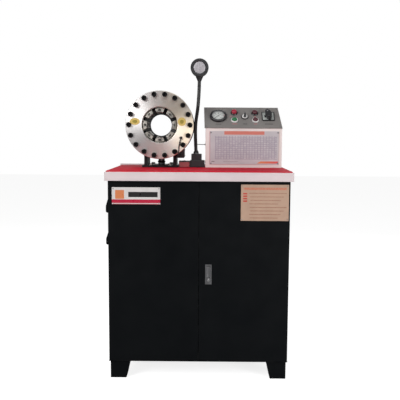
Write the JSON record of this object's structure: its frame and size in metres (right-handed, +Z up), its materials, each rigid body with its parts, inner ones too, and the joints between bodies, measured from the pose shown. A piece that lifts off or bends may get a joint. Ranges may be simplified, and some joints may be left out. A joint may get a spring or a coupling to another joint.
{
  "type": "hydraulic hose crimping machine",
  "caption": "Hose crimping machine: a radial die head with its control box and work lamp on a two-door power pack cabinet with a rubber-topped worktop.",
  "frame": {"origin": "floor level under the middle of the worktop", "axes": "+Z up, front and doors facing -Y, +X to the right of someone standing in front"},
  "size_m": [0.72, 0.46, 1.2725],
  "materials": {
    "cabinet_black": "satin",
    "worktop_white": "satin",
    "mat_red": "matt",
    "turned_steel": "lathe turned",
    "die_steel": "machined",
    "black_steel": "blackened",
    "cream_sheet": "satin",
    "panel_grey": "satin",
    "chart_print": "printed film",
    "name_print": "printed film",
    "tan_print": "printed film",
    "lock_metal": "zinc die casting",
    "black_plastic": "moulded",
    "stop_red": "moulded",
    "start_green": "moulded",
    "dark_red": "moulded",
    "lens_white": "frosted",
    "needle_black": "painted",
    "motor_grey": "enamel",
    "tank_grey": "enamel",
    "hose_black": "matt"
  },
  "bodies": {
    "root": {"cabinet_body": "cabinet_black", "rear_panel": "cabinet_black", "left_hinge_rod": "black_steel", "right_hinge_rod": "black_steel", "front_left_foot": "cabinet_black", "front_right_foot": "cabinet_black", "rear_left_foot": "cabinet_black", "rear_right_foot": "cabinet_black", "worktop": "worktop_white", "rubber_mat": "mat_red", "front_flange": "turned_steel", "head_cylinder": "black_steel", "rear_ring": "black_steel", "pedestal": "black_steel", "limit_switch": "black_plastic", "inlet_fitting": "black_steel", "control_box": "cream_sheet", "control_panel": "panel_grey", "crimp_chart": "chart_print", "gauge_case": "black_plastic", "lamp_base": "black_plastic", "neck_lower": "black_plastic", "terminal_box": "black_plastic", "oil_tank": "tank_grey", "motor_housing": "motor_grey", "fan_cover": "motor_grey", "pump": "black_steel", "valve_block": "die_steel", "press_hose": "hose_black", "pump_hose": "hose_black"},
    "left_door": {"left_door": "cabinet_black", "name_plate": "name_print"},
    "right_door": {"right_door": "cabinet_black", "instruction_plate": "tan_print", "lock_housing": "lock_metal"},
    "lock_lever": {"lock_lever": "lock_metal"},
    "lock_button": {"lock_button": "lock_metal"},
    "lock_cam": {"lock_cam": "lock_metal"},
    "piston": {"piston": "die_steel"},
    "die_1": {"die_1": "die_steel"},
    "die_2": {"die_2": "die_steel"},
    "die_3": {"die_3": "die_steel"},
    "die_4": {"die_4": "die_steel"},
    "die_5": {"die_5": "die_steel"},
    "die_6": {"die_6": "die_steel"},
    "die_7": {"die_7": "die_steel"},
    "die_8": {"die_8": "die_steel"},
    "gauge_needle": {"gauge_needle": "needle_black"},
    "stop_button": {"stop_button": "stop_red"},
    "start_button": {"start_button": "start_green"},
    "crimp_button": {"crimp_button": "dark_red"},
    "open_button": {"open_button": "dark_red"},
    "selector_knob": {"selector_knob": "black_plastic"},
    "rotary_knob": {"rotary_knob": "black_plastic"},
    "neck_middle": {"neck_middle": "black_plastic"},
    "neck_upper": {"neck_upper": "black_plastic"},
    "motor_shaft": {"motor_shaft": "die_steel"},
    "filler_cap": {"filler_cap": "black_plastic"},
    "lamp_head": {"lamp_head": "black_plastic", "lamp_lens": "lens_white"}
  },
  "joints": [
    {"name": "left_door_hinge", "type": "hinge", "parent": "root", "child": "left_door", "pos_m": [-0.3425, -0.211, 0.42], "axis": [0, 0, -1], "range_deg": [0, 110]},
    {"name": "right_door_hinge", "type": "hinge", "parent": "root", "child": "right_door", "pos_m": [0.3425, -0.211, 0.42], "axis": [0, 0, 1], "range_deg": [0, 110]},
    {"name": "lock_lever_pivot", "type": "hinge", "parent": "right_door", "child": "lock_lever", "pos_m": [0.03785, -0.2178, 0.449], "axis": [-1, 0, 0], "range_deg": [0, 40]},
    {"name": "lock_button_press", "type": "slide", "parent": "right_door", "child": "lock_button", "axis": [0, 1, 0], "range_m": [0, 0.003], "stiffness_N_per_m": 400, "springref_m": -0.002},
    {"name": "lock_cam_turn", "type": "hinge", "parent": "right_door", "child": "lock_cam", "pos_m": [0.03785, -0.1975, 0.42], "axis": [0, 1, 0], "range_deg": [0, 90]},
    {"name": "piston_stroke", "type": "slide", "parent": "root", "child": "piston", "axis": [0, -1, 0], "range_m": [0, 0.045]},
    {"name": "die_1_slide", "type": "slide", "parent": "root", "child": "die_1", "axis": [0, 0, -1], "range_m": [0, 0.018]},
    {"name": "die_2_slide", "type": "slide", "parent": "root", "child": "die_2", "axis": [-0.7071, 0, -0.7071], "range_m": [0, 0.018]},
    {"name": "die_3_slide", "type": "slide", "parent": "root", "child": "die_3", "axis": [-1, 0, 0], "range_m": [0, 0.018]},
    {"name": "die_4_slide", "type": "slide", "parent": "root", "child": "die_4", "axis": [-0.7071, 0, 0.7071], "range_m": [0, 0.018]},
    {"name": "die_5_slide", "type": "slide", "parent": "root", "child": "die_5", "axis": [0, 0, 1], "range_m": [0, 0.018]},
    {"name": "die_6_slide", "type": "slide", "parent": "root", "child": "die_6", "axis": [0.7071, 0, 0.7071], "range_m": [0, 0.018]},
    {"name": "die_7_slide", "type": "slide", "parent": "root", "child": "die_7", "axis": [1, 0, 0], "range_m": [0, 0.018]},
    {"name": "die_8_slide", "type": "slide", "parent": "root", "child": "die_8", "axis": [0.7071, 0, -0.7071], "range_m": [0, 0.018]},
    {"name": "gauge_needle_turn", "type": "hinge", "parent": "root", "child": "gauge_needle", "pos_m": [0.0777, 0.09202, 1.03084], "axis": [0, 0.6691, -0.7431], "range_deg": [0, 270]},
    {"name": "stop_button_press", "type": "slide", "parent": "root", "child": "stop_button", "axis": [0, 0.6691, -0.7431], "range_m": [0, 0.004], "stiffness_N_per_m": 400, "springref_m": -0.003},
    {"name": "start_button_press", "type": "slide", "parent": "root", "child": "start_button", "axis": [0, 0.6691, -0.7431], "range_m": [0, 0.004], "stiffness_N_per_m": 400, "springref_m": -0.003},
    {"name": "crimp_button_press", "type": "slide", "parent": "root", "child": "crimp_button", "axis": [0, 0.6691, -0.7431], "range_m": [0, 0.004], "stiffness_N_per_m": 400, "springref_m": -0.003},
    {"name": "open_button_press", "type": "slide", "parent": "root", "child": "open_button", "axis": [0, 0.6691, -0.7431], "range_m": [0, 0.004], "stiffness_N_per_m": 400, "springref_m": -0.003},
    {"name": "selector_turn", "type": "hinge", "parent": "root", "child": "selector_knob", "pos_m": [0.1897, 0.09053, 1.0295], "axis": [0, -0.6691, 0.7431], "range_deg": [-45, 45]},
    {"name": "rotary_turn", "type": "hinge", "parent": "root", "child": "rotary_knob", "pos_m": [0.289, 0.09276, 1.03151], "axis": [0, -0.6691, 0.7431], "range_deg": [-45, 45]},
    {"name": "neck_sway", "type": "hinge", "parent": "root", "child": "neck_middle", "pos_m": [-0.0083, 0.075, 1.0833], "axis": [0, 1, 0], "range_deg": [-30, 30]},
    {"name": "neck_bend", "type": "hinge", "parent": "neck_middle", "child": "neck_upper", "pos_m": [-0.005, 0.075, 1.134], "axis": [1, 0, 0], "range_deg": [-45, 45]},
    {"name": "lamp_tilt", "type": "hinge", "parent": "neck_upper", "child": "lamp_head", "pos_m": [-0.0035, 0.075, 1.185], "axis": [1, 0, 0], "range_deg": [-30, 45]},
    {"name": "motor_spin", "type": "hinge", "parent": "root", "child": "motor_shaft", "pos_m": [0.15, 0.03, 0.185], "axis": [1, 0, 0], "continuous": true},
    {"name": "filler_cap_lift", "type": "slide", "parent": "root", "child": "filler_cap", "axis": [0, 0, 1], "range_m": [0, 0.035]}
  ],
  "couplings": [
    {"joint": "die_1_slide", "follows": "piston_stroke", "ratio": 0.4},
    {"joint": "die_2_slide", "follows": "piston_stroke", "ratio": 0.4},
    {"joint": "die_3_slide", "follows": "piston_stroke", "ratio": 0.4},
    {"joint": "die_4_slide", "follows": "piston_stroke", "ratio": 0.4},
    {"joint": "die_5_slide", "follows": "piston_stroke", "ratio": 0.4},
    {"joint": "die_6_slide", "follows": "piston_stroke", "ratio": 0.4},
    {"joint": "die_7_slide", "follows": "piston_stroke", "ratio": 0.4},
    {"joint": "die_8_slide", "follows": "piston_stroke", "ratio": 0.4}
  ]
}
